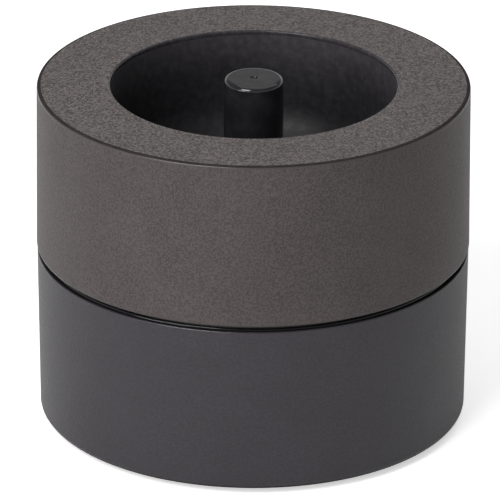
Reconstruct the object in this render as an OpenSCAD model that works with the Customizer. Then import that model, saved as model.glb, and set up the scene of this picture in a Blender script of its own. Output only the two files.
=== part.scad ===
// Magnetic paper clip holder: a weighted round base, and on it a round bowl
// unit that turns and lifts off. A magnetic post stands in the bowl.
// Millimetres, +Z up. The origin is on the table, under the middle of the foot.

/* [Whole] */
// Outside diameter of the bowl unit
shell_d = 73; // [71:0.5:84]
// How far the anti-slip pad stands out under the base
pad_proud = 0.9; // [0.5:0.1:1.6]
// Height of the shadow gap between base and bowl unit
seam_h = 1.35; // [1:0.05:2.5]
// Depth of the shadow gap, from the base's rim in to the glide ring
seam_depth = 1.1; // [0.6:0.1:1.3]

/* [Base shell] */
// Height of the base shell
base_h = 28.7; // [26:0.1:40]
// How much smaller in radius the base's rim is than the bowl unit
base_step = 0.1; // [0:0.05:0.4]
// How much the base's radius draws in from its rim to its foot
base_draft = 0.35; // [0:0.05:0.6]
// Rounding of the base's bottom edge
base_edge_r = 1; // [0.5:0.1:2]
// Wall of the base shell
base_wall = 2.4; // [2:0.1:3]
// Wall left around the deck at the base's rim
base_rim_wall = 1.4; // [1.2:0.1:1.8]
// Floor of the base shell, above the pad's recess
base_floor_t = 3.2; // [2.8:0.1:4.5]
// Width of each rib that centres the ballast
ballast_rib_w = 1.6; // [1:0.1:3]
// Number of those ribs
ballast_ribs = 6; // [3:1:9]

/* [Anti-slip pad] */
// Width of the foot's land round the pad's recess
pad_land = 4.5; // [2:0.1:9]
// Depth of the recess that the pad is stuck in
pad_recess = 0.9; // [0.5:0.1:1.4]
// Bevel round the pad's lower edge
pad_bevel = 0.35; // [0.1:0.05:0.5]

/* [Ballast] */
// How far the steel disc stands in from the base's wall
ballast_inset = 2.6; // [1:0.1:7]
// Thickness of the steel disc
ballast_t = 8; // [4:0.5:10]

/* [Deck] */
// Thickness of the deck that closes the base
deck_t = 2; // [1.6:0.1:2.6]
// How far the spigot stands above the base's rim
spigot_h = 4; // [3.6:0.1:6]
// Bevel round the spigot's top edge
spigot_bevel = 0.5; // [0.2:0.1:0.9]
// Room round the post's washer in the dish that clears it
dish_room = 4.5; // [1:0.5:6]
// Room under the post's screw head in that dish
dish_under = 1; // [0.5:0.1:1.5]
// Diameter of the pillars that hold the ballast down
pillar_d = 8; // [6:0.2:9]
// How far those pillars run into the spigot's wall
pillar_root = 1; // [0.2:0.1:1.5]

/* [Glide ring] */
// Wall of the ring's sleeve, round the spigot
sleeve_wall = 1.5; // [1:0.1:2]
// How much lower the sleeve ends than the spigot
sleeve_drop = 0.4; // [0.1:0.1:1]
// Radius of the bead at the foot of the ring's outer face
bead_r = 0.2; // [0.1:0.05:0.4]

/* [Top shell] */
// Height of the top shell
top_h = 28.05; // [26:0.05:40]
// How much the top shell's radius draws in from its skirt to its top edge
top_draft = 0.2; // [0:0.05:0.6]
// Rounding of the outer top edge
top_edge_r = 0.5; // [0.3:0.1:2]
// Wall of the skirt
skirt_wall = 2.4; // [1.8:0.1:2.8]
// How far the skirt's rounded hem hangs below its seat, in front of the gap
hem_drop = 0.45; // [0.3:0.05:0.5]
// Gap between the hem and the glide ring's neck
hem_gap = 0.15; // [0.1:0.05:0.3]
// Thickness of the flat ring on top
top_t = 2.2; // [1.8:0.1:3]
// Width of the flat ring, from the outside in to the bowl's mouth
mouth_land = 12.3; // [11:0.1:17]
// Rounding of the mouth's edge
mouth_edge_r = 0.3; // [0.2:0.05:0.6]
// Thickness of the lip over the bowl's rim
lip_t = 0.7; // [0.65:0.05:1]
// Depth of the ring under the top that centres the bowl
centring_h = 3; // [2.2:0.1:5]
// Wall of that ring
centring_wall = 1.1; // [0.8:0.1:1.3]
// Diameter of the screw bosses
boss_d = 5.6; // [5:0.1:6]
// Width of the ribs that tie the bosses to the skirt
boss_rib_w = 1.4; // [1:0.1:2]

/* [Bowl] */
// Wall of the bowl
bowl_wall = 1.8; // [1.4:0.1:2]
// How far the bowl's inside stands back from the mouth's edge
bowl_setback = 0.06; // [0.05:0.01:0.3]
// How much the bowl's radius draws in from its rim to its corner
bowl_draft = 0.4; // [0:0.1:1.2]
// Rounding where the bowl's wall turns into its floor
bowl_corner_r = 8; // [4:0.5:12]
// Floor of the bowl
bowl_floor_t = 2.4; // [2:0.1:3.5]
// Width of the flange round the bowl's rim, past the bowl's wall
bowl_flange_w = 1; // [0.6:0.1:1.2]
// Thickness of that flange
bowl_flange_t = 2; // [1.4:0.1:2.6]
// Width of the collar on the bowl's floor, round the post
collar_w = 1.6; // [1:0.1:3]
// Height of that collar
collar_h = 1.5; // [0.8:0.1:3]

/* [Carrier] */
// Thickness of the carrier's outer part
carrier_t = 2.7; // [2.4:0.1:3.4]
// Thickness of the carrier's middle, over the spigot
carrier_mid_t = 2.1; // [1.8:0.1:3]
// Wall left between the carrier's edge and the recesses for its screws' heads
carrier_edge = 0.6; // [0.4:0.1:1.5]
// Wall between those recesses and the carrier's socket
socket_wall = 2; // [1.4:0.1:2.4]

/* [Magnet post] */
// Wall of the post's sleeve round the magnets
post_wall = 0.9; // [0.7:0.1:2]
// How far the post's head stands above the top shell
post_proud = 1; // [0:0.1:3]
// Rounding of the head
post_edge_r = 0.8; // [0.6:0.1:1.8]
// Thickness of the head over the pole disc
post_top_t = 1.3; // [1:0.1:2.5]
// Diameter of the dimple in the head
dimple_d = 1.6; // [1:0.1:2.4]
// Depth of that dimple
dimple_h = 0.25; // [0.1:0.05:0.4]
// Width of the flange under the bowl's floor
post_flange_w = 3; // [2:0.1:5]
// Thickness of that flange
post_flange_t = 1.2; // [0.8:0.1:1.4]
// Diameter of the magnets, the pole disc and the core
magnet_d = 8; // [6:0.5:12]
// Thickness of each magnet
magnet_t = 5; // [2:0.5:5]
// Thickness of the steel pole disc
pole_t = 1.2; // [0.8:0.1:2]

/* [Screws] */
// Diameter of the screws' shanks
screw_d = 3; // [2.5:0.1:3.2]
// Diameter of the screws' heads
head_d = 5.2; // [4.8:0.1:5.6]
// Height of the screws' heads
head_h = 1.5; // [1.2:0.1:1.6]
// Width of the drive recess across the heads
drive_w = 0.8; // [0.5:0.1:1.2]
// Depth of the drive recess
drive_h = 0.7; // [0.4:0.1:0.9]
// Length of the base's screws under the head
base_screw_l = 16; // [14:0.5:18]
// Length of the carrier's screws under the head
carrier_screw_l = 12; // [8:0.5:16]
// Length of the post's screw under the head
post_screw_l = 10; // [7:0.5:11]
// Diameter of the washer under the post's screw
washer_d = 9; // [7:0.5:12]
// Thickness of that washer
washer_t = 0.8; // [0.5:0.1:1]

/* [Fits] */
// Radial clearance where the glide ring turns and the bowl unit slides
run_gap = 0.08; // [0.03:0.01:0.1]
// Radial clearance between pieces that are fixed together
fit_gap = 0.1; // [0.05:0.01:0.2]
// Clearance round a screw's shank or head
screw_gap = 0.3; // [0.2:0.05:0.4]
// Clearance round a screw's thread in its boss
thread_gap = 0.05; // [0.02:0.01:0.1]
// Depth left beyond a screw's tip, and under its head
screw_room = 0.2; // [0.1:0.05:0.4]
// Gap that the glide ring leaves under the carrier, and the socket over the spigot
lift_gap = 0.3; // [0.1:0.05:0.4]

/* [Hidden] */
$fn = 120;
past = 1;          // how far a cut runs past the face it opens
screw_count = 3;

// Levels of the base, from the table up
z_foot = pad_proud;
z_recess = z_foot + pad_recess;
z_floor = z_recess + base_floor_t;
z_ballast = z_floor + ballast_t;
z_rim = z_foot + base_h;
z_deck = z_rim - deck_t;
z_spigot = z_rim + spigot_h;
head_room = head_h + screw_room;
z_base_head = z_recess + head_room;

// Levels of the bowl unit
z_seat = z_rim + seam_h;
z_hem = z_seat - hem_drop;
z_plate = z_seat + lift_gap;
z_carrier = z_plate + carrier_t;
z_socket = max(z_carrier, z_spigot + lift_gap);
z_carrier_mid = z_socket + carrier_mid_t;
z_bowl_floor = z_carrier_mid + bowl_floor_t;
z_top = z_seat + top_h;
z_under_top = z_top - top_t;
z_lip = z_top - lip_t;
z_flange = z_under_top - bowl_flange_t;
z_carrier_head = z_plate + head_room;

// Levels of the post
z_post = z_top + post_proud;
z_pole_top = z_post - post_top_t;
z_pole = z_pole_top - pole_t;
z_magnet_mid = z_pole - magnet_t;
z_magnet_low = z_magnet_mid - magnet_t;
z_washer = z_socket - washer_t;
z_dish = z_washer - head_h - dish_under;

// Radii of the screws and their holes
screw_r = screw_d / 2;
head_r = head_d / 2;
hole_r = screw_r + screw_gap;
head_hole_r = head_r + screw_gap;
thread_r = screw_r + thread_gap;

// Radii of the bowl unit
shell_r = shell_d / 2;
top_r = shell_r - top_draft;
skirt_in_r = shell_r - skirt_wall;
mouth_r = top_r - mouth_land;
bowl_r = mouth_r + bowl_setback;
corner_at = bowl_r - bowl_draft - bowl_corner_r;
bowl_out_r = bowl_r + bowl_wall;
flange_r = bowl_out_r + bowl_flange_w;
centring_r = flange_r + fit_gap;
carrier_r = skirt_in_r - fit_gap;
boss_r = boss_d / 2;
boss_at = carrier_r - carrier_edge - head_hole_r;
socket_out_r = boss_at - max(head_hole_r, boss_r + fit_gap);
socket_r = socket_out_r - socket_wall;

// Radii of the post
magnet_r = magnet_d / 2;
magnet_hole_r = magnet_r + fit_gap;
post_r = magnet_hole_r + post_wall;
post_flange_r = post_r + post_flange_w;
washer_r = washer_d / 2;

// Radii of the base, with the glide ring between its spigot and the bowl unit's socket
rim_r = shell_r - base_step;
foot_r = rim_r - base_draft;
base_in_r = foot_r - base_wall;
ballast_r = base_in_r - ballast_inset;
recess_r = foot_r - pad_land;
pad_r = recess_r - fit_gap;
deck_hole_r = rim_r - base_rim_wall;
deck_r = deck_hole_r - fit_gap;
neck_r = rim_r - seam_depth;
sleeve_r = socket_r - run_gap;
ring_r = sleeve_r - sleeve_wall;
spigot_r = ring_r - run_gap;
dish_r = washer_r + dish_room;
pillar_at = spigot_r - deck_t + pillar_root - pillar_d / 2;

base_turn = 30;      // bearing of the first screw in the base
carrier_turn = 90;   // bearing of the first screw in the carrier

shell_colour = "#4a4645";
bowl_colour = "#2c2a2b";
gloss_colour = "#151516";
inner_colour = "#3a3a3c";
rubber_colour = "#232323";
steel_colour = "#a9abad";
plated_colour = "#c9cbcd";

// Three copies in a ring, the first at the given bearing
module three_round(radius, bearing) {
    for (i = [0 : screw_count - 1])
        rotate(bearing + i * 360 / screw_count) translate([radius, 0, 0]) children();
}

// A straight round piece, bore or cut between two levels
module round_between(radius, low, high) {
    translate([0, 0, low]) cylinder(r = radius, h = high - low);
}

// A ring between two levels
module ring_between(outer, inner, low, high) {
    difference() {
        round_between(outer, low, high);
        round_between(inner, low - past, high + past);
    }
}

// A rectangle of a half outline between two radii and two levels
module square_between(inner, outer, low, high) {
    translate([inner, low]) square([outer - inner, high - low]);
}

// A pan-head screw that points up, its head under the level of its seat
module screw(seat, shank_l) {
    difference() {
        union() {
            round_between(head_r, seat - head_h, seat);
            round_between(screw_r, seat, seat + shank_l);
        }
        for (turn = [0, 90])
            rotate(turn)
                translate([-head_r + drive_w, -drive_w / 2, seat - head_h - past])
                    cube([2 * (head_r - drive_w), drive_w, past + drive_h]);
    }
}

// Half outline of the base shell: drawn-in wall and rounded bottom edge
module base_outline() {
    polygon([[0, z_foot], [foot_r - base_edge_r, z_foot],
             [foot_r - base_edge_r, z_foot + base_edge_r],
             [foot_r, z_foot + base_edge_r], [rim_r, z_rim], [0, z_rim]]);
    translate([foot_r - base_edge_r, z_foot + base_edge_r]) circle(r = base_edge_r);
}

module base_shell() {
    color(shell_colour) {
        difference() {
            rotate_extrude() base_outline();
            round_between(base_in_r, z_floor, z_rim + past);
            round_between(deck_hole_r, z_deck, z_rim + past);
            round_between(recess_r, z_foot - past, z_recess);
            three_round(pillar_at, base_turn) {
                round_between(hole_r, z_recess - past, z_floor + past);
                round_between(head_hole_r, z_recess - past, z_base_head);
            }
        }
        for (i = [0 : ballast_ribs - 1])
            rotate(i * 360 / ballast_ribs)
                translate([ballast_r + fit_gap, -ballast_rib_w / 2, z_floor - past])
                    cube([ballast_inset - fit_gap + base_wall / 2, ballast_rib_w,
                          ballast_t + past]);
    }
}

module foot_pad() {
    color(rubber_colour)
        rotate_extrude()
            polygon([[0, 0], [pad_r - pad_bevel, 0], [pad_r, pad_bevel], [pad_r, z_recess],
                     [0, z_recess]]);
}

module ballast_disc() {
    color(steel_colour)
        difference() {
            round_between(ballast_r, z_floor, z_ballast);
            three_round(pillar_at, base_turn)
                round_between(hole_r, z_floor - past, z_ballast + past);
        }
}

module base_deck() {
    pilot_top = z_base_head + base_screw_l + screw_room;
    color(inner_colour)
        difference() {
            union() {
                rotate_extrude()
                    polygon([[spigot_r - deck_t, z_deck], [deck_r, z_deck], [deck_r, z_rim],
                             [spigot_r, z_rim], [spigot_r, z_spigot - spigot_bevel],
                             [spigot_r - spigot_bevel, z_spigot], [dish_r, z_spigot],
                             [dish_r, z_dish], [0, z_dish], [0, z_dish - deck_t],
                             [dish_r + deck_t, z_dish - deck_t],
                             [dish_r + deck_t, z_spigot - deck_t],
                             [spigot_r - deck_t, z_spigot - deck_t]]);
                three_round(pillar_at, base_turn)
                    round_between(pillar_d / 2, z_ballast, z_spigot - deck_t / 2);
            }
            three_round(pillar_at, base_turn)
                round_between(thread_r, z_ballast - past, pilot_top);
        }
}

module base_screws() {
    color(steel_colour)
        three_round(pillar_at, base_turn) screw(z_base_head, base_screw_l);
}

// The washer-like ring in the gap, with the sleeve that turns on the spigot
module glide_ring() {
    color(gloss_colour)
        rotate_extrude() {
            polygon([[ring_r, z_rim], [neck_r, z_rim], [neck_r, z_seat], [sleeve_r, z_seat],
                     [sleeve_r, z_spigot - sleeve_drop], [ring_r, z_spigot - sleeve_drop]]);
            intersection() {
                translate([neck_r, z_rim]) circle(r = bead_r);
                translate([neck_r - bead_r, z_rim]) square([2 * bead_r, bead_r]);
            }
        }
}

// Half outline of the top shell, solid inside: rounded hem, drawn-in skirt and rounded top edge
module top_outline() {
    hem_at = shell_r - hem_drop;
    edge_at = top_r - top_edge_r;
    polygon([[0, z_hem], [hem_at, z_hem], [hem_at, z_seat], [shell_r, z_seat],
             [top_r, z_top - top_edge_r], [edge_at, z_top - top_edge_r], [edge_at, z_top],
             [0, z_top]]);
    intersection() {
        translate([hem_at, z_seat]) circle(r = hem_drop);
        square_between(hem_at, shell_r, z_hem, z_seat);
    }
    translate([edge_at, z_top - top_edge_r]) circle(r = top_edge_r);
}

// What the mouth takes away: the opening, its rounded edge and the slope under the lip
module mouth_cut() {
    slope = lip_t - top_t;
    edge_at = mouth_r + mouth_edge_r;
    translate([0, z_under_top - past]) square([mouth_r, top_t + 2 * past]);
    difference() {
        translate([0, z_top - mouth_edge_r]) square([edge_at, mouth_edge_r + past]);
        translate([edge_at, z_top - mouth_edge_r]) circle(r = mouth_edge_r);
    }
    polygon([[0, z_lip], [mouth_r, z_lip], [mouth_r - slope, z_under_top], [0, z_under_top]]);
}

module top_shell() {
    color(shell_colour)
        difference() {
            union() {
                difference() {
                    rotate_extrude() top_outline();
                    round_between(skirt_in_r, z_hem - past, z_under_top);
                    round_between(neck_r + hem_gap, z_hem - past, z_seat);
                }
                round_between(centring_r + centring_wall, z_under_top - centring_h,
                              z_under_top + top_t / 2);
                three_round(boss_at, carrier_turn) {
                    round_between(boss_r, z_carrier, z_under_top + top_t / 2);
                    translate([0, -boss_rib_w / 2, z_carrier])
                        cube([skirt_in_r - boss_at + skirt_wall / 2, boss_rib_w,
                              z_under_top - z_carrier + top_t / 2]);
                }
            }
            round_between(centring_r, z_carrier - past, z_under_top);
            rotate_extrude() mouth_cut();
            three_round(boss_at, carrier_turn)
                round_between(thread_r, z_carrier - past,
                              z_carrier_head + carrier_screw_l + screw_room);
        }
}

// Half outline of the bowl's inside, or of its outside with grow set to the wall
module bowl_outline(grow, floor_z) {
    corner_z = z_bowl_floor + bowl_corner_r;
    polygon([[0, floor_z], [corner_at, floor_z], [corner_at, corner_z],
             [bowl_r - bowl_draft + grow, corner_z], [bowl_r + grow, z_top], [0, z_top]]);
    intersection() {
        translate([corner_at, corner_z]) circle(r = bowl_corner_r + grow);
        translate([0, floor_z]) square([bowl_out_r, corner_z - floor_z]);
    }
}

// What the top shell's lip fills above the bowl's sloped rim
module lip_outline() {
    polygon([[0, z_lip], [mouth_r, z_lip], [mouth_r + top_t - lip_t, z_under_top],
             [flange_r + past, z_under_top], [flange_r + past, z_top + past], [0, z_top + past]]);
}

module bowl() {
    color(bowl_colour)
        difference() {
            rotate_extrude() {
                difference() {
                    union() {
                        bowl_outline(bowl_wall, z_carrier_mid);
                        square_between(corner_at, flange_r, z_flange, z_top);
                    }
                    bowl_outline(0, z_bowl_floor);
                    lip_outline();
                }
                square_between(post_r, post_r + collar_w, z_bowl_floor - past,
                               z_bowl_floor + collar_h);
            }
            round_between(post_r + fit_gap, z_carrier_mid - past, z_bowl_floor + collar_h + past);
            round_between(post_flange_r + fit_gap, z_carrier_mid - past,
                          z_carrier_mid + post_flange_t);
        }
}

module bowl_carrier() {
    color(inner_colour)
        difference() {
            union() {
                round_between(carrier_r, z_plate, z_carrier);
                round_between(socket_out_r, z_plate, z_carrier_mid);
            }
            round_between(socket_r, z_seat - past, z_socket);
            round_between(hole_r, z_seat, z_carrier_mid + past);
            three_round(boss_at, carrier_turn) {
                round_between(hole_r, z_seat, z_carrier + past);
                round_between(head_hole_r, z_seat, z_carrier_head);
            }
        }
}

module carrier_screws() {
    color(steel_colour)
        three_round(boss_at, carrier_turn) screw(z_carrier_head, carrier_screw_l);
}

// Half outline of the post, solid inside, with its head rounded
module post_outline() {
    edge_at = post_r - post_edge_r;
    polygon([[0, z_carrier_mid], [post_flange_r, z_carrier_mid],
             [post_flange_r, z_carrier_mid + post_flange_t],
             [post_r, z_carrier_mid + post_flange_t], [post_r, z_post - post_edge_r],
             [edge_at, z_post - post_edge_r], [edge_at, z_post], [0, z_post]]);
    translate([edge_at, z_post - post_edge_r]) circle(r = post_edge_r);
}

module post_sleeve() {
    color(gloss_colour)
        difference() {
            rotate_extrude() post_outline();
            round_between(magnet_hole_r, z_carrier_mid - past, z_pole_top);
            round_between(dimple_d / 2, z_post - dimple_h, z_post + past);
        }
}

module pole_disc() {
    color(steel_colour) round_between(magnet_r, z_pole, z_pole_top);
}

module upper_magnet() {
    color(plated_colour) round_between(magnet_r, z_magnet_mid, z_pole);
}

module lower_magnet() {
    color(plated_colour) round_between(magnet_r, z_magnet_low, z_magnet_mid);
}

module post_core() {
    color(steel_colour)
        difference() {
            round_between(magnet_r, z_carrier_mid, z_magnet_low);
            round_between(thread_r, z_carrier_mid - past,
                          z_washer + post_screw_l + screw_room);
        }
}

module post_washer() {
    color(steel_colour) ring_between(washer_r, hole_r, z_washer, z_washer + washer_t);
}

module post_screw() {
    color(steel_colour) screw(z_washer, post_screw_l);
}

base_shell();
foot_pad();
ballast_disc();
base_deck();
base_screws();
glide_ring();
top_shell();
bowl();
bowl_carrier();
carrier_screws();
post_sleeve();
pole_disc();
upper_magnet();
lower_magnet();
post_core();
post_washer();
post_screw();
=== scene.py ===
import math

import bmesh
import bpy
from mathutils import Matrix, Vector


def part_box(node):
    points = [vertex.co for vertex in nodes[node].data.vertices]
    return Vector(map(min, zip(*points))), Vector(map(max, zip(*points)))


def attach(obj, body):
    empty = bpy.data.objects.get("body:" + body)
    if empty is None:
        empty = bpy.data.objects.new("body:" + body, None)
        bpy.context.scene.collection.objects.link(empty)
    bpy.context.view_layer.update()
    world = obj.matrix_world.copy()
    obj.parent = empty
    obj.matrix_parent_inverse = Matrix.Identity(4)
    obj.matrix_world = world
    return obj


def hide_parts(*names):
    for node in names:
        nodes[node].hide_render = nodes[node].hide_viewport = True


# Magnetic paper clip holder: the looks of its pieces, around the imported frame.
# Sizes in the dictionaries are millimetres, and mm turns them into metres.
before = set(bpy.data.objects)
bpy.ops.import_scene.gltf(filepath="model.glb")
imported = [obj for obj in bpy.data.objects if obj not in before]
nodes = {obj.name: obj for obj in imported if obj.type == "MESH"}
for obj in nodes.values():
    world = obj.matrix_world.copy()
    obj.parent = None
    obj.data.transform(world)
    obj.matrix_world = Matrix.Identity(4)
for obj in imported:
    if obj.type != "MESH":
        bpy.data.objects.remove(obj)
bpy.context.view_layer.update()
mm = 0.001
print("frame loaded with", len(nodes), "nodes")


def span(node):
    # lowest level, highest level and outer radius of a node, in mm
    low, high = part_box(node)
    return low.z / mm, high.z / mm, high.x / mm


baseFoot, baseRim, rimRadius = span("base_shell")
_, topLevel, skirtRadius = span("top_shell")
bowlUnder, _, flangeRadius = span("bowl")
ringLow, sleeveTop, beadRadius = span("glide_ring")
postLow, postTop, postFlangeRadius = span("post_sleeve")
padLow, padTop, padRadius = span("foot_pad")
plateLevel, _, _ = span("bowl_carrier")
_, ballastTop, _ = span("ballast_disc")
plateGap = 0.3  # from the glide ring up to the carrier's plate
plateThickness = 2.7
seatLevel = plateLevel - plateGap  # where the skirt sits on the glide ring
carrierPlate = plateLevel + plateThickness  # where the bosses stand


# ---- camera

camera = {
    "distance": 1110.0,
    "elevation": 23.365,
    "roll": 0.27,
    "aimLevel": 30.9,
    "focalPixels": 6573.0,
    "aimPixel": (253.0, 237.55),
    "framePixels": 500.0,
    "sensorWidth": 36.0,
}


def placeCamera(view):
    data = bpy.data.cameras.new("camera")
    eye = bpy.data.objects.new("camera", data)
    bpy.context.scene.collection.objects.link(eye)
    size = view["framePixels"]
    tilt = math.radians(view["elevation"])
    back = Vector((0, -math.cos(tilt), math.sin(tilt)))
    eye.location = (Vector((0, 0, view["aimLevel"])) + back * view["distance"]) * mm
    turn = (-back).to_track_quat("-Z", "Y").to_matrix().to_4x4()
    roll = math.radians(view["roll"])
    eye.rotation_euler = (turn @ turn.Rotation(roll, 4, "Z")).to_euler()
    data.sensor_width = view["sensorWidth"]
    data.lens = view["focalPixels"] / size * view["sensorWidth"]
    data.shift_x = (size / 2 - view["aimPixel"][0]) / size
    data.shift_y = (view["aimPixel"][1] - size / 2) / size
    data.clip_start = 0.01
    data.clip_end = 20
    bpy.context.scene.camera = eye


placeCamera(camera)


# ---- outlines: rounded corners, turned round the axis

def roundOff(corners, support=0.12, stepAngle=9.0):
    # corners are (radius, level) or (radius, level, rounding). Rounded ones become arcs,
    # with a point on each straight beside them that keeps the flat faces flat.
    outline = []
    count = len(corners)
    for i, corner in enumerate(corners):
        here = Vector(corner[:2])
        rounding = corner[2] if len(corner) > 2 else 0
        if not rounding:
            outline.append(here)
            continue
        toLast = Vector(corners[i - 1][:2]) - here
        toNext = Vector(corners[(i + 1) % count][:2]) - here
        free = [toLast.length, toNext.length]
        toLast.normalize()
        toNext.normalize()
        between = toLast.angle(toNext)
        reach = rounding / math.tan(between / 2)
        centre = here + (toLast + toNext).normalized() * rounding / math.sin(between / 2)
        start = here + toLast * reach - centre
        end = here + toNext * reach - centre
        swing = math.pi - between
        if start.x * end.y - start.y * end.x < 0:
            swing = -swing
        steps = max(3, round(abs(math.degrees(swing)) / stepAngle))
        if free[0] > reach + 2 * support:
            outline.append(here + toLast * (reach + support))
        for k in range(steps + 1):
            a = swing * k / steps
            outline.append(centre + Vector((start.x * math.cos(a) - start.y * math.sin(a),
                                            start.x * math.sin(a) + start.y * math.cos(a))))
        if free[1] > reach + 2 * support:
            outline.append(here + toNext * (reach + support))
    return outline


def addInput(tree, name, kind, value=None):
    socket = tree.interface.new_socket(name, in_out="INPUT", socket_type="NodeSocket" + kind)
    if value is not None:
        socket.default_value = value


def geometryTree(name, inputs):
    tree = bpy.data.node_groups.new(name, "GeometryNodeTree")
    tree.interface.new_socket("Geometry", in_out="OUTPUT", socket_type="NodeSocketGeometry")
    addInput(tree, "Geometry", "Geometry")
    for row in inputs:
        addInput(tree, *row)
    return tree, tree.nodes.new("NodeGroupInput").outputs


def put(tree, kind, inputs=None, **settings):
    # a new node with its settings made and its inputs linked or set
    node = tree.nodes.new(kind)
    for name, value in settings.items():
        setattr(node, name, value)
    for name, value in (inputs or {}).items():
        if isinstance(value, bpy.types.NodeSocket):
            tree.links.new(value, node.inputs[name])
        else:
            node.inputs[name].default_value = value
    return node


def endTree(tree, geometry, material):
    real = put(tree, "GeometryNodeRealizeInstances", {"Geometry": geometry})
    painted = put(tree, "GeometryNodeSetMaterial", {"Geometry": real.outputs[0],
                                                    "Material": material})
    put(tree, "NodeGroupOutput", {"Geometry": painted.outputs[0]})


def buildTurnTree():
    # sweeps an outline, drawn as radius and level, round the axis
    tree, given = geometryTree("turnOutline", [("Segments", "Int", 320),
                                               ("Guide Radius", "Float", 10 * mm),
                                               ("Weld", "Float", 0.001 * mm),
                                               ("Material", "Material")])
    guide = put(tree, "GeometryNodeCurvePrimitiveCircle", {"Resolution": given["Segments"],
                                                           "Radius": given["Guide Radius"]})
    apart = put(tree, "ShaderNodeSeparateXYZ",
                {"Vector": put(tree, "GeometryNodeInputPosition").outputs[0]})
    across = put(tree, "ShaderNodeMath", {0: apart.outputs["X"], 1: given["Guide Radius"]},
                 operation="SUBTRACT")
    down = put(tree, "ShaderNodeMath", {0: apart.outputs["Y"], 1: -1.0}, operation="MULTIPLY")
    place = put(tree, "ShaderNodeCombineXYZ", {"X": across.outputs[0], "Y": down.outputs[0]})
    moved = put(tree, "GeometryNodeSetPosition", {"Geometry": given["Geometry"],
                                                  "Position": place.outputs[0]})
    profile = put(tree, "GeometryNodeMeshToCurve", {"Mesh": moved.outputs[0]})
    swept = put(tree, "GeometryNodeCurveToMesh", {"Curve": guide.outputs[0],
                                                  "Profile Curve": profile.outputs[0]})
    welded = put(tree, "GeometryNodeMergeByDistance", {"Geometry": swept.outputs[0],
                                                       "Distance": given["Weld"]})
    endTree(tree, welded.outputs[0], given["Material"])
    return tree


def buildAroundTree(name, operation):
    # sets copies of a tool in a ring, and joins them on or cuts them out
    tree, given = geometryTree(name, [("Tool", "Object"), ("Count", "Int", 3),
                                      ("Radius", "Float", 0.0), ("First Bearing", "Float", 0.0),
                                      ("Material", "Material")])
    points = put(tree, "GeometryNodePoints", {"Count": given["Count"]})
    step = put(tree, "ShaderNodeMath", {0: 2 * math.pi, 1: given["Count"]}, operation="DIVIDE")
    bearing = put(tree, "ShaderNodeMath",
                  {0: put(tree, "GeometryNodeInputIndex").outputs[0], 1: step.outputs[0],
                   2: given["First Bearing"]}, operation="MULTIPLY_ADD")
    turn = put(tree, "ShaderNodeCombineXYZ", {"Z": bearing.outputs[0]})
    arm = put(tree, "ShaderNodeCombineXYZ", {"X": given["Radius"]})
    place = put(tree, "ShaderNodeVectorRotate", {"Vector": arm.outputs[0],
                                                 "Rotation": turn.outputs[0]},
                rotation_type="EULER_XYZ")
    moved = put(tree, "GeometryNodeSetPosition", {"Geometry": points.outputs[0],
                                                  "Position": place.outputs[0]})
    tool = put(tree, "GeometryNodeObjectInfo", {"Object": given["Tool"]})
    copies = put(tree, "GeometryNodeInstanceOnPoints",
                 {"Points": moved.outputs[0], "Instance": tool.outputs["Geometry"],
                  "Rotation": turn.outputs[0]})
    loose = put(tree, "GeometryNodeRealizeInstances", {"Geometry": copies.outputs[0]})
    joined = put(tree, "GeometryNodeMeshBoolean", operation=operation, solver="EXACT")
    body = "Mesh 1" if operation == "DIFFERENCE" else "Mesh 2"
    tree.links.new(given["Geometry"], joined.inputs[body])
    tree.links.new(loose.outputs[0], joined.inputs["Mesh 2"])
    endTree(tree, joined.outputs[0], given["Material"])
    return tree


turnTree = buildTurnTree()
aroundTrees = {
    "add": buildAroundTree("addAround", "UNION"),
    "cut": buildAroundTree("cutAround", "DIFFERENCE"),
}


def addTree(piece, tree, **inputs):
    modifier = piece.modifiers.new(tree.name, "NODES")
    modifier.node_group = tree
    for item in tree.interface.items_tree:
        key = item.name.replace(" ", "")
        if item.in_out == "INPUT" and key in inputs:
            modifier[item.identifier] = inputs[key]


def newObject(name, vertices, edges, faces):
    mesh = bpy.data.meshes.new(name)
    mesh.from_pydata(vertices, edges, faces)
    piece = bpy.data.objects.new(name, mesh)
    bpy.context.scene.collection.objects.link(piece)
    return piece


def turned(name, corners, segments=320, support=0.12, stepAngle=9.0):
    outline = roundOff(corners, support, stepAngle)
    count = len(outline)
    edges = [(i, (i + 1) % count) for i in range(count)]
    piece = newObject(name, [(p.x * mm, p.y * mm, 0) for p in outline], edges, [])
    addTree(piece, turnTree, Segments=segments)
    return piece


def ringed(piece, kind, tool, count=3, radius=0.0, bearing=0.0):
    addTree(piece, aroundTrees[kind], Tool=tool, Count=count, Radius=radius * mm,
            FirstBearing=math.radians(bearing))
    return piece


def block(name, low, high):
    corners = [(x * mm, y * mm, z * mm) for x in (low[0], high[0]) for y in (low[1], high[1])
               for z in (low[2], high[2])]
    faces = [(0, 1, 3, 2), (4, 6, 7, 5), (0, 4, 5, 1), (2, 3, 7, 6), (0, 2, 6, 4), (1, 5, 7, 3)]
    return newObject(name, corners, [], faces)


def rod(name, steps):
    # steps are (radius, low, high), and each radius is at most the one before
    corners = [(0, steps[0][1])]
    for radius, low, high in steps:
        corners += [(radius, low), (radius, high)]
    return baked(turned(name, corners + [(0, steps[-1][2])], segments=48))


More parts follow.
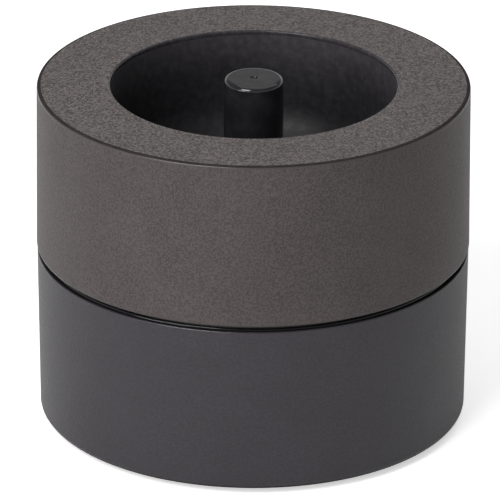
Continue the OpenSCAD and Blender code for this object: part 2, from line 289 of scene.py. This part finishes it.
def baked(piece, sharpAngle=30.0):
    # the modifiers' result as a plain closed mesh, faces outward, smooth but for sharp edges
    bpy.context.view_layer.update()
    graph = bpy.context.evaluated_depsgraph_get()
    mesh = bpy.data.meshes.new_from_object(piece.evaluated_get(graph))
    work = bmesh.new()
    work.from_mesh(mesh)
    bmesh.ops.remove_doubles(work, verts=work.verts, dist=0.0005 * mm)
    bmesh.ops.dissolve_degenerate(work, edges=work.edges, dist=0.0002 * mm)
    bmesh.ops.recalc_face_normals(work, faces=work.faces)
    wires = [e for e in work.edges if not e.link_faces]
    bmesh.ops.delete(work, geom=wires, context="EDGES")
    loose = [v for v in work.verts if not v.link_faces]
    bmesh.ops.delete(work, geom=loose, context="VERTS")
    open_ = sum(1 for e in work.edges if len(e.link_faces) != 2)
    if open_:
        print("note:", piece.name, "has", open_, "open or shared edges")
    work.to_mesh(mesh)
    work.free()
    mesh.shade_smooth()
    mesh.set_sharp_from_angle(angle=math.radians(sharpAngle))
    piece.modifiers.clear()
    piece.data = mesh
    mesh.name = piece.name
    return piece


def scrap(*tools):
    for tool in tools:
        bpy.data.objects.remove(tool)


def finishPiece(piece, material, body, node, zones=()):
    # zones are (material, test), where the test takes a face's radius and level in mm
    baked(piece)
    piece.data.materials.clear()
    piece.data.materials.append(material)
    for zoneMaterial, test in zones:
        piece.data.materials.append(zoneMaterial)
        number = len(piece.data.materials) - 1
        for face in piece.data.polygons:
            if test(math.hypot(*face.center[:2]) / mm, face.center.z / mm):
                face.material_index = number
    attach(piece, body)
    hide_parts(node)
    triangles = sum(len(p.vertices) - 2 for p in piece.data.polygons)
    print("made", piece.name, "with", triangles, "triangles")


# ---- materials

def newMaterial(name):
    material = bpy.data.materials.new(name)
    material.use_nodes = True
    tree = material.node_tree
    tree.nodes.clear()
    shader = put(tree, "ShaderNodeBsdfPrincipled")
    put(tree, "ShaderNodeOutputMaterial", {"Surface": shader.outputs[0]})
    place = put(tree, "ShaderNodeTexCoord").outputs["Object"]
    return material, tree, shader, place


def noise(tree, place, size, detail=2.0, rough=0.5, shift=0.0):
    # an even noise from 0 to 1, whose cells have about the given size in mm
    moved = put(tree, "ShaderNodeVectorMath", {0: place, 1: (shift, shift * 0.7, shift * 0.4)},
                operation="ADD")
    return put(tree, "ShaderNodeTexNoise", {"Vector": moved.outputs[0], "Scale": 1 / (size * mm),
                                            "Detail": detail, "Roughness": rough}).outputs[0]


def calc(tree, operation, *values):
    node = put(tree, "ShaderNodeMath", dict(enumerate(values)), operation=operation)
    return node.outputs[0]


def ramp(tree, value, low, high, atLow=0.0, atHigh=1.0):
    return put(tree, "ShaderNodeMapRange",
               {"Value": value, "From Min": low, "From Max": high, "To Min": atLow,
                "To Max": atHigh}, interpolation_type="SMOOTHSTEP").outputs[0]


def radiusAndLevel(tree, place):
    # distance from the axis and height, in metres
    apart = put(tree, "ShaderNodeSeparateXYZ", {"Vector": place})
    across = calc(tree, "ADD", calc(tree, "MULTIPLY", apart.outputs["X"], apart.outputs["X"]),
                  calc(tree, "MULTIPLY", apart.outputs["Y"], apart.outputs["Y"]))
    return calc(tree, "SQRT", across), apart.outputs["Z"]


def band(tree, radius, level, zone):
    # 1 inside a ring of the given radii and levels in mm, and 0 outside
    inner, outer, low, high, soft = (v * mm for v in zone)
    parts = [ramp(tree, radius, inner - soft, inner + soft),
             ramp(tree, radius, outer + soft, outer - soft),
             ramp(tree, level, low - soft, low + soft),
             ramp(tree, level, high + soft, high - soft)]
    mask = parts[0]
    for part in parts[1:]:
        mask = calc(tree, "MULTIPLY", mask, part)
    return mask


def blendColour(tree, share, first, second):
    mix = put(tree, "ShaderNodeMix", data_type="RGBA")
    for socket, value in zip([mix.inputs[0], mix.inputs[6], mix.inputs[7]],
                             [share, first, second]):
        if isinstance(value, bpy.types.NodeSocket):
            tree.links.new(value, socket)
        else:
            socket.default_value = value if isinstance(value, float) else (*value, 1.0)
    return mix.outputs[2]


def bump(tree, height, depth, strength=1.0, under=None):
    inputs = {"Height": height, "Distance": depth * mm, "Strength": strength}
    if under is not None:
        inputs["Normal"] = under
    return put(tree, "ShaderNodeBump", inputs).outputs[0]


shellLook = {
    "top": {"wall": ((0.022, 0.017, 0.017), (0.112, 0.093, 0.094)),
            # the face colours are lighter than the wall's: painted light on the top face from
            # overhead
            "face": ((0.040, 0.033, 0.032), (0.155, 0.132, 0.129)),
            "wallGrain": 0.34, "roughness": (0.42, 0.56), "specular": 0.3},
    "base": {"wall": ((0.015, 0.013, 0.016), (0.048, 0.043, 0.051)),
             "face": ((0.015, 0.013, 0.016), (0.048, 0.043, 0.051)),
             "wallGrain": 0.28, "roughness": (0.36, 0.50), "specular": 0.4},
    "grain": 0.34,
    "grainDepth": 0.30,
    "fineGrain": 0.16,
    "fineDepth": 0.03,
    "mottle": 9.0,
    "edgeRoughness": 0.15,
    "mottleShare": 0.05,
}


def shellPlastic(name, look, plastic, smooth, fullGrainAndLitTop):
    # spark-eroded mould grain. smooth lists the rings where the grain fades into polished edges;
    # the other list holds the rings with the grain at its full size, which also get the lighter
    # face colours, painted light from overhead.
    material, tree, shader, place = newMaterial(name)
    radius, level = radiusAndLevel(tree, place)
    edge = 0.0
    for zone in smooth:
        edge = calc(tree, "MAXIMUM", edge, band(tree, radius, level, zone))
    face = 0.0
    for zone in fullGrainAndLitTop:
        face = calc(tree, "MAXIMUM", face, band(tree, radius, level, zone))
    strength = calc(tree, "MULTIPLY", calc(tree, "SUBTRACT", 1.0, edge),
                    ramp(tree, face, 0.0, 1.0, plastic["wallGrain"], 1.0))
    grain = noise(tree, place, look["grain"], detail=2.0, rough=0.6)
    fine = noise(tree, place, look["fineGrain"], detail=2.0, shift=0.3)
    cloud = noise(tree, place, look["mottle"], detail=3.0, rough=0.5, shift=0.7)
    swing = calc(tree, "MULTIPLY", ramp(tree, grain, 0.41, 0.59, -0.5, 0.5), strength)
    share = calc(tree, "ADD", calc(tree, "ADD", swing, 0.5),
                 ramp(tree, cloud, 0.3, 0.7, -look["mottleShare"], look["mottleShare"]))
    # where face is 1, the lighter face colours paint overhead light onto the top
    colour = blendColour(tree, face, blendColour(tree, share, *plastic["wall"]),
                         blendColour(tree, share, *plastic["face"]))
    tree.links.new(colour, shader.inputs["Base Color"])
    low, high = plastic["roughness"]
    roughness = ramp(tree, fine, 0.25, 0.75, low, high)
    roughness = calc(tree, "ADD", roughness,
                     calc(tree, "MULTIPLY", edge, look["edgeRoughness"] - (low + high) / 2))
    tree.links.new(roughness, shader.inputs["Roughness"])
    height = calc(tree, "ADD", calc(tree, "MULTIPLY", calc(tree, "SUBTRACT", grain, 0.5), strength),
                  calc(tree, "MULTIPLY", fine, look["fineDepth"] / look["grainDepth"]))
    tree.links.new(bump(tree, height, look["grainDepth"]), shader.inputs["Normal"])
    shader.inputs["Specular IOR Level"].default_value = plastic["specular"]
    return material


smoothLook = {
    "bowl": {"colour": (0.014, 0.013, 0.015), "haze": (0.023, 0.021, 0.024), "size": 1.2,
             "roughness": (0.46, 0.58), "ripple": 0.5, "depth": 0.02, "specular": 0.3,
             # the next colours and level paint the wall lighter towards the rim: painted light near
             # the rim, painted shade deeper down
             "worn": ((0.036, 0.033, 0.037), (0.052, 0.048, 0.053)), "wornFrom": -9.0},
    # edge: near-black and almost unreflecting, it paints a dark shade line along edges (the shell's
    # top edge, the base's foot)
    "edge": {"colour": (0.028, 0.023, 0.024), "haze": (0.038, 0.032, 0.033), "size": 2.0,
             "roughness": (0.62, 0.72), "ripple": 0.8, "depth": 0.004, "specular": 0.04},
    # ledge: near-black, a painted shadow on the base's rim ledge under the skirt
    "ledge": {"colour": (0.008, 0.008, 0.009), "haze": (0.012, 0.012, 0.013), "size": 2.0,
              "roughness": (0.50, 0.60), "ripple": 0.8, "depth": 0.004, "specular": 0.04},
    # lip: the bowl's colour near the rim, at the level lightened there as painted light
    "lip": {"colour": (0.034, 0.031, 0.035), "haze": (0.050, 0.046, 0.051), "size": 1.2,
            "roughness": (0.22, 0.30), "ripple": 0.5, "depth": 0.002, "specular": 0.3},
    "seam": {"colour": (0.007, 0.007, 0.008), "haze": (0.012, 0.012, 0.013), "size": 3.0,
             "roughness": (0.10, 0.18), "ripple": 1.5, "depth": 0.0012, "specular": 0.4},
    "gloss": {"colour": (0.012, 0.012, 0.014), "haze": (0.020, 0.020, 0.023), "size": 3.0,
              "roughness": (0.07, 0.16), "ripple": 1.5, "depth": 0.0012, "specular": 0.5},
    "inner": {"colour": (0.042, 0.042, 0.044), "haze": (0.060, 0.060, 0.062), "size": 7.0,
              "roughness": (0.38, 0.52), "ripple": 0.8, "depth": 0.006, "specular": 0.4},
}


def smoothPlastic(name, look):
    # moulded without grain: a faint haze, uneven gloss and a little orange peel
    material, tree, shader, place = newMaterial(name)
    haze = noise(tree, place, look["size"], detail=4.0, rough=0.6)
    ripple = noise(tree, place, look["ripple"], detail=2.0, shift=0.2)
    scuff = put(tree, "ShaderNodeMapping", {"Vector": place, "Scale": (1.0, 1.0, 0.12)})
    streak = noise(tree, scuff.outputs[0], look["ripple"] * 0.5, detail=3.0, rough=0.7, shift=0.5)
    colour = blendColour(tree, ramp(tree, haze, 0.35, 0.75), look["colour"], look["haze"])
    if "worn" in look:  # painted light: the wall gets lighter towards the rim and darker deeper in the bowl
        level = radiusAndLevel(tree, place)[1]
        worn = blendColour(tree, ramp(tree, haze, 0.35, 0.75), *look["worn"])
        share = ramp(tree, level, (topLevel + look["wornFrom"]) * mm, topLevel * mm)
        colour = blendColour(tree, share, colour, worn)
    tree.links.new(colour, shader.inputs["Base Color"])
    low, high = look["roughness"]
    wear = calc(tree, "MULTIPLY", ramp(tree, streak, 0.62, 0.74), 0.08)
    tree.links.new(calc(tree, "ADD", ramp(tree, haze, 0.3, 0.7, low, high), wear),
                   shader.inputs["Roughness"])
    tree.links.new(bump(tree, ripple, look["depth"]), shader.inputs["Normal"])
    shader.inputs["Specular IOR Level"].default_value = look["specular"]
    return material


padLook = {
    "colour": (0.022, 0.022, 0.023),
    "cell": 0.55,
    "cellDepth": 0.06,
    "dust": (0.060, 0.058, 0.055),
}


def foamRubber(look):
    # fine closed cells, with a little dust in them
    material, tree, shader, place = newMaterial("foamRubber")
    cells = put(tree, "ShaderNodeTexVoronoi", {"Vector": place, "Scale": 1 / (look["cell"] * mm)},
                feature="F1").outputs["Distance"]
    dust = noise(tree, place, 4.0, detail=5.0, rough=0.7)
    share = calc(tree, "MULTIPLY", ramp(tree, dust, 0.52, 0.8), 0.6)
    tree.links.new(blendColour(tree, share, look["colour"], look["dust"]),
                   shader.inputs["Base Color"])
    tree.links.new(ramp(tree, cells, 0.1, 0.6, 0.95, 0.78), shader.inputs["Roughness"])
    tree.links.new(bump(tree, ramp(tree, cells, 0.15, 0.6), look["cellDepth"]),
                   shader.inputs["Normal"])
    return material


metalLook = {
    "sheetSteel": {"colour": (0.40, 0.40, 0.41), "stain": (0.22, 0.20, 0.19),
                   "roughness": (0.28, 0.5), "lay": (1.0, 0.04, 1.0), "line": 0.25},
    "turnedSteel": {"colour": (0.46, 0.46, 0.47), "stain": (0.30, 0.29, 0.28),
                    "roughness": (0.22, 0.38), "lay": (0.1, 0.1, 1.0), "line": 0.12},
    "zincPlate": {"colour": (0.52, 0.53, 0.55), "stain": (0.38, 0.37, 0.33),
                  "roughness": (0.2, 0.34), "lay": (1.0, 1.0, 1.0), "line": 0.4},
    "nickelPlate": {"colour": (0.58, 0.56, 0.53), "stain": (0.45, 0.43, 0.40),
                    "roughness": (0.08, 0.18), "lay": (1.0, 1.0, 1.0), "line": 0.8},
}


def metal(name, look):
    # bare or plated metal, with its tool marks along the lay
    material, tree, shader, place = newMaterial(name)
    lay = put(tree, "ShaderNodeMapping", {"Vector": place, "Scale": look["lay"]})
    line = noise(tree, lay.outputs[0], look["line"], detail=4.0, rough=0.65)
    stain = noise(tree, place, 5.0, detail=4.0, rough=0.6, shift=0.9)
    shader.inputs["Metallic"].default_value = 1.0
    tree.links.new(blendColour(tree, ramp(tree, stain, 0.5, 0.8), look["colour"], look["stain"]),
                   shader.inputs["Base Color"])
    low, high = look["roughness"]
    tree.links.new(ramp(tree, line, 0.3, 0.7, low, high), shader.inputs["Roughness"])
    tree.links.new(bump(tree, line, 0.004), shader.inputs["Normal"])
    return material


bowlPlastic = smoothPlastic("bowlPlastic", smoothLook["bowl"])
edgePlastic = smoothPlastic("edgePlastic", smoothLook["edge"])
ledgePlastic = smoothPlastic("ledgePlastic", smoothLook["ledge"])
lipPlastic = smoothPlastic("lipPlastic", smoothLook["lip"])
seamPlastic = smoothPlastic("seamPlastic", smoothLook["seam"])
glossPlastic = smoothPlastic("glossPlastic", smoothLook["gloss"])
innerPlastic = smoothPlastic("innerPlastic", smoothLook["inner"])
padRubber = foamRubber(padLook)
sheetSteel = metal("sheetSteel", metalLook["sheetSteel"])
turnedSteel = metal("turnedSteel", metalLook["turnedSteel"])
zincPlate = metal("zincPlate", metalLook["zincPlate"])
nickelPlate = metal("nickelPlate", metalLook["nickelPlate"])
print("materials made")


# ---- upper half

topShellSizes = {
    "draft": 0.2,
    "edgeRound": 0.5,
    # edgeShare and edgeReach size the band on the top edge that is painted as a dark shade line
    "edgeShare": 0.38,
    "edgeReach": 0.16,
    "mouthLand": 12.3,
    "mouthRound": 0.3,
    "lip": 0.7,
    "top": 2.2,
    "skirtWall": 2.4,
    "hemDrop": 0.45,
    "hemGap": 0.15,
    "neck": 35.3,
    "centringDepth": 3.0,
    "centringWall": 1.1,
    "centringGap": 0.1,
    "lipRound": 0.04,
    "hemInsideRound": 0.05,
    "bossAt": 30.5,
    "bossRadius": 2.8,
    "bossBore": 1.55,
    "bossBoreDepth": 11.2,
    "bossRib": 1.4,
    "bossCount": 3,
    "bossBearing": 90.0,
}


def makeTopShell(sizes):
    radius = skirtRadius - sizes["draft"]
    mouth = radius - sizes["mouthLand"]
    inside = skirtRadius - sizes["skirtWall"]
    under = topLevel - sizes["top"]
    slopeEnd = mouth + sizes["top"] - sizes["lip"]
    centring = flangeRadius + sizes["centringGap"]
    hem = seatLevel - sizes["hemDrop"]
    hemInside = sizes["neck"] + sizes["hemGap"]
    edge = radius - sizes["edgeRound"]
    edgeStart = edge - sizes["edgeReach"]
    edgeEnd = topLevel - sizes["edgeRound"] * sizes["edgeShare"]
    piece = turned("topShell", [
        (skirtRadius, hem, sizes["hemDrop"] - 0.01),
        (radius, topLevel, sizes["edgeRound"]),
        (edgeStart, topLevel),
        (mouth, topLevel, sizes["mouthRound"]),
        (mouth, topLevel - sizes["lip"], sizes["lipRound"]),
        (slopeEnd, under),
        (centring, under),
        (centring, under - sizes["centringDepth"]),
        (centring + sizes["centringWall"], under - sizes["centringDepth"]),
        (centring + sizes["centringWall"], under),
        (inside, under),
        (inside, seatLevel),
        (hemInside, seatLevel),
        (hemInside, hem, sizes["hemInsideRound"]),
    ])
    bossLow = carrierPlate
    bossHigh = under + sizes["top"] / 2
    reach = inside + sizes["skirtWall"] / 2 - sizes["bossAt"]
    half = sizes["bossRib"] / 2
    tools = {
        "add": [rod("boss", [(sizes["bossRadius"], bossLow, bossHigh)]),
                block("bossRib", (0, -half, bossLow), (reach, half, bossHigh))],
        "cut": [rod("bossBore", [(sizes["bossBore"], bossLow - 1,
                                  bossLow + sizes["bossBoreDepth"])])],
    }
    for kind, shapes in tools.items():
        for tool in shapes:
            ringed(piece, kind, tool, sizes["bossCount"], sizes["bossAt"], sizes["bossBearing"])
    baked(piece)
    scrap(*tools["add"], *tools["cut"])
    finishPiece(piece, shellPlastic("topPlastic", shellLook, shellLook["top"], [
        (edge, radius + 1, topLevel - sizes["edgeRound"], topLevel + 1, 0.06),
        (hemInside - 1, radius + 1, hem - 1, seatLevel, 0.08),
    ], [(mouth, radius, topLevel - 0.1, topLevel + 1, 0.05)]), "bowl_unit", "top_shell", [
        # painted shade: the upper part of the outer top edge gets the dark edge plastic, which
        # draws a dark line
        (edgePlastic, lambda r, z: r > edgeStart and z > edgeEnd),
        (lipPlastic, lambda r, z: r < mouth + sizes["mouthRound"] and z > topLevel - sizes["lip"]),
    ])


makeTopShell(topShellSizes)


bowlSizes = {
    "setback": 0.06,
    "wall": 1.8,
    "draft": 0.4,
    "corner": 8.0,
    "floor": 2.4,
    "flangeThickness": 2.0,
    "lip": 0.7,
    "topThickness": 2.2,
    "collarWidth": 1.6,
    "collarHeight": 1.5,
    "collarRounds": (0.25, 0.3, 0.5),
    "rimRound": 0.05,
    "postRadius": 5.0,
    "postRecess": 1.2,
    "gap": 0.1,
}


def makeBowl(sizes):
    mouth = skirtRadius - topShellSizes["draft"] - topShellSizes["mouthLand"]
    rim = mouth + sizes["setback"]
    floor = bowlUnder + sizes["floor"]
    cornerLevel = floor + sizes["corner"]
    cornerAt = rim - sizes["draft"] - sizes["corner"]
    under = topLevel - sizes["topThickness"]
    lean = sizes["draft"] / (topLevel - cornerLevel)
    rimLevel = topLevel - sizes["lip"] - sizes["setback"]
    flangeLow = under - sizes["flangeThickness"]
    outer = rim - sizes["draft"] + sizes["wall"]
    hole = sizes["postRadius"] + sizes["gap"]
    collar = sizes["postRadius"] + sizes["collarWidth"]
    recess = postFlangeRadius + sizes["gap"]
    outerCorner = sizes["corner"] + sizes["wall"]
    arc = [(cornerAt + outerCorner * math.sin(a), cornerLevel - outerCorner * math.cos(a))
           for a in (math.radians(90 - 7.5 * k) for k in range(13))]
    piece = turned("bowlInsert", [
        (hole, floor + sizes["collarHeight"], sizes["collarRounds"][0]),
        (collar, floor + sizes["collarHeight"], sizes["collarRounds"][1]),
        (collar, floor, sizes["collarRounds"][2]),
        (cornerAt + sizes["corner"] * (1 - lean), floor, sizes["corner"]),
        (rim - lean * (topLevel - rimLevel), rimLevel, sizes["rimRound"]),
        (mouth + sizes["topThickness"] - sizes["lip"], under),
        (flangeRadius, under),
        (flangeRadius, flangeLow),
        (outer + lean * (flangeLow - cornerLevel), flangeLow),
        *arc,
        (cornerAt, bowlUnder),
        (recess, bowlUnder),
        (recess, bowlUnder + sizes["postRecess"]),
        (hole, bowlUnder + sizes["postRecess"]),
    ], stepAngle=4.0)
    finishPiece(piece, bowlPlastic, "bowl_unit", "bowl")


makeBowl(bowlSizes)


postSizes = {
    "radius": 5.0,
    "headRound": 0.8,
    "headThickness": 1.3,
    "flange": 1.2,
    "boreRadius": 4.1,
    "dimpleRadius": 0.8,
    "dimpleFloor": 0.6,
    "dimpleDepth": 0.25,
    "dimpleRounds": (0.2, 0.15),
}


def makePost(sizes):
    dimpleLow = postTop - sizes["dimpleDepth"]
    piece = turned("postSleeve", [
        (0, postTop - sizes["headThickness"]),
        (sizes["boreRadius"], postTop - sizes["headThickness"]),
        (sizes["boreRadius"], postLow),
        (postFlangeRadius, postLow),
        (postFlangeRadius, postLow + sizes["flange"]),
        (sizes["radius"], postLow + sizes["flange"]),
        (sizes["radius"], postTop, sizes["headRound"]),
        (sizes["dimpleRadius"], postTop, sizes["dimpleRounds"][0]),
        (sizes["dimpleFloor"], dimpleLow, sizes["dimpleRounds"][1]),
        (0, dimpleLow),
    ], segments=160, stepAngle=6.0)
    finishPiece(piece, glossPlastic, "bowl_unit", "post_sleeve")


makePost(postSizes)


# ---- seam

ringSizes = {
    "bead": 0.2,
    "beadSlope": ((0.18, 0.06), (0.13, 0.15)),
    "bore": 24.02,
    "boreRound": 0.2,
    "sleeve": 1.5,
    "sleeveFoot": 0.1,
    "sleeveRound": 0.3,
    "edge": 0.08,
    "topGap": 0.02,
}


def makeRing(sizes):
    neck = beadRadius - sizes["bead"]
    sleeve = sizes["bore"] + sizes["sleeve"]
    ringTop = seatLevel - sizes["topGap"]
    piece = turned("glideRing", [
        (sizes["bore"], ringLow, sizes["boreRound"]),
        (beadRadius, ringLow),
        *[(neck + out, ringLow + up) for out, up in sizes["beadSlope"]],
        (neck, ringLow + sizes["bead"]),
        (neck, ringTop, sizes["edge"]),
        (sleeve, ringTop, sizes["sleeveFoot"]),
        (sleeve, sleeveTop, sizes["sleeveRound"]),
        (sizes["bore"], sleeveTop, sizes["sleeveRound"]),
    ])
    finishPiece(piece, seamPlastic, "ring", "glide_ring")


makeRing(ringSizes)


# ---- lower half

baseSizes = {
    "draft": 0.35,
    "edgeRound": 1.0,
    "rimRound": 0.22,
    "footLine": 0.55,
    "wall": 2.4,
    # height of the band at the foot that is painted as a dark shade line
    "rimWall": 1.4,
    "deck": 2.0,
    "floor": 3.2,
    "padLand": 4.5,
    "ribAt": 31.15,
    "ribWidth": 1.6,
    "ribCount": 6,
    "holeAt": 18.94,
    "holeRadius": 1.8,
    "headRadius": 2.9,
    "headDepth": 1.7,
    "holeBearing": 30.0,
}


def makeBase(sizes):
    foot = rimRadius - sizes["draft"]
    inside = foot - sizes["wall"]
    recess = foot - sizes["padLand"]
    floor = padTop + sizes["floor"]
    piece = turned("baseShell", [
        (0, padTop),
        (recess, padTop),
        (recess, baseFoot, 0.2),
        (foot, baseFoot, sizes["edgeRound"]),
        (rimRadius, baseRim, sizes["rimRound"]),
        (rimRadius - sizes["rimWall"], baseRim, 0.1),
        (rimRadius - sizes["rimWall"], baseRim - sizes["deck"]),
        (inside, baseRim - sizes["deck"]),
        (inside, floor),
        (0, floor),
    ])
    half = sizes["ribWidth"] / 2
    rib = block("ballastRib", (0, -half, floor - 0.5),
                (inside + sizes["wall"] / 2 - sizes["ribAt"], half, ballastTop))
    hole = rod("screwHole", [(sizes["headRadius"], padTop - 1, padTop + sizes["headDepth"]),
                             (sizes["holeRadius"], padTop + sizes["headDepth"], floor + 1)])
    ringed(piece, "add", rib, sizes["ribCount"], sizes["ribAt"])
    ringed(piece, "cut", hole, 3, sizes["holeAt"], sizes["holeBearing"])
    baked(piece)
    scrap(rib, hole)
    ledge = rimRadius - sizes["rimRound"]
    finishPiece(piece, shellPlastic("basePlastic", shellLook, shellLook["base"], [
        (foot - sizes["edgeRound"], rimRadius + 1, 0, baseFoot + 0.75, 0.2),
        (rimRadius - sizes["rimWall"], rimRadius + 1, baseRim - 0.25, baseRim + 1, 0.06),
    ], []), "base", "base_shell", [
        # painted shade: the lowest band of the foot gets the dark edge plastic, a dark line where
        # the base meets the floor
        (edgePlastic, lambda r, z: z < baseFoot + sizes["footLine"]),
        # painted shadow: the rim's ledge under the skirt gets the near-black ledge plastic
        (ledgePlastic, lambda r, z: r < ledge and z > baseRim - sizes["deck"]),
    ])


makeBase(baseSizes)


padSizes = {
    "bevel": 0.35,
    "bevelRound": 0.2,
    "topRound": 0.1,
}


def makePad(sizes):
    bevel = sizes["bevel"]
    piece = turned("footPad", [
        (0, padLow),
        (padRadius - bevel, padLow, sizes["bevelRound"]),
        (padRadius, padLow + bevel, sizes["bevelRound"]),
        (padRadius, padTop, sizes["topRound"]),
        (0, padTop),
    ])
    finishPiece(piece, padRubber, "base", "foot_pad")


makePad(padSizes)


def paintNode(node, material):
    nodes[node].data.materials.clear()
    nodes[node].data.materials.append(material)


for node in ("base_deck", "bowl_carrier"):
    paintNode(node, innerPlastic)
for node in ("base_screws", "carrier_screws", "post_screw", "post_washer"):
    paintNode(node, zincPlate)
for node in ("pole_disc", "post_core"):
    paintNode(node, turnedSteel)
for node in ("upper_magnet", "lower_magnet"):
    paintNode(node, nickelPlate)
paintNode("ballast_disc", sheetSteel)
print("pieces made")


# ---- studio

studio = {
    "floorSize": 6.0,
    "floorGap": 0.05,
    "floorColour": 0.65,
    "floorShown": 0.88,
    "floorGlow": {"camera": 0.56, "mirrored": 0.10},
    "worldLevel": 0.32,
    "backdrop": {"horizon": 1.0, "overhead": 0.15, "from": 0.0, "to": 32.0},
    "lights": {
        "key": {"at": (-0.32, -0.45, 0.52), "aim": (0, 0, 0.04), "size": (0.38, 0.38),
                "watts": 4.2},
        "side": {"at": (-0.76, -0.70, 0.25), "aim": (0, 0, 0.05), "size": (0.55, 0.10),
                 "watts": 1.7},
        "fill": {"at": (0.16, 0.34, 0.90), "aim": (0, 0, 0.04), "size": (1.0, 1.0),
                 "watts": 2.2},
    },
}


def makeFloor(setup):
    half = setup["floorSize"] / 2
    floor = newObject("floor", [(-half, -half, 0), (half, -half, 0), (half, half, 0),
                                (-half, half, 0)], [], [(0, 1, 2, 3)])
    floor.location.z = -setup["floorGap"] * mm
    material = bpy.data.materials.new("floorWhite")
    material.use_nodes = True
    tree = material.node_tree
    tree.nodes.clear()
    ray = put(tree, "ShaderNodeLightPath").outputs
    mirrored = calc(tree, "MAXIMUM", ray["Is Glossy Ray"], ray["Is Transmission Ray"])
    seen = calc(tree, "MAXIMUM", mirrored, ray["Is Camera Ray"])
    grey = ramp(tree, seen, 0.0, 1.0, setup["floorColour"], setup["floorShown"])
    plain = put(tree, "ShaderNodeBsdfDiffuse", {"Color": grey})
    level = calc(tree, "ADD",
                 calc(tree, "MULTIPLY", ray["Is Camera Ray"], setup["floorGlow"]["camera"]),
                 calc(tree, "MULTIPLY", mirrored, setup["floorGlow"]["mirrored"]))
    glow = put(tree, "ShaderNodeEmission", {"Strength": level})
    both = put(tree, "ShaderNodeAddShader", {0: plain.outputs[0], 1: glow.outputs[0]})
    put(tree, "ShaderNodeOutputMaterial", {"Surface": both.outputs[0]})
    floor.data.materials.append(material)


def makeWorld(setup):
    world = bpy.data.worlds.new("studio")
    bpy.context.scene.world = world
    world.use_nodes = True
    tree = world.node_tree
    tree.nodes.clear()
    ray = put(tree, "ShaderNodeLightPath").outputs
    seen = calc(tree, "MAXIMUM", ray["Is Camera Ray"],
                calc(tree, "MAXIMUM", ray["Is Glossy Ray"], ray["Is Transmission Ray"]))
    backdrop = setup["backdrop"]
    upward = put(tree, "ShaderNodeSeparateXYZ",
                 {"Vector": put(tree, "ShaderNodeTexCoord").outputs["Generated"]}).outputs["Z"]
    shown = ramp(tree, upward, math.sin(math.radians(backdrop["from"])),
                 math.sin(math.radians(backdrop["to"])), backdrop["horizon"], backdrop["overhead"])
    shown = calc(tree, "MAXIMUM", shown, ray["Is Camera Ray"])
    strength = ramp(tree, seen, 0.0, 1.0, setup["worldLevel"], shown)
    light = put(tree, "ShaderNodeBackground", {"Color": (1, 1, 1, 1), "Strength": strength})
    put(tree, "ShaderNodeOutputWorld", {"Surface": light.outputs[0]})


def makeLight(name, setup):
    data = bpy.data.lights.new(name, "AREA")
    data.shape = "RECTANGLE"
    data.size, data.size_y = setup["size"]
    data.energy = setup["watts"]
    lamp = bpy.data.objects.new(name, data)
    bpy.context.scene.collection.objects.link(lamp)
    lamp.location = setup["at"]
    toward = Vector(setup["aim"]) - Vector(setup["at"])
    lamp.rotation_euler = toward.to_track_quat("-Z", "Y").to_euler()


makeFloor(studio)
makeWorld(studio)
for lightName, lightSetup in studio["lights"].items():
    makeLight(lightName, lightSetup)
bpy.context.scene.view_settings.view_transform = "Standard"
print("studio set")
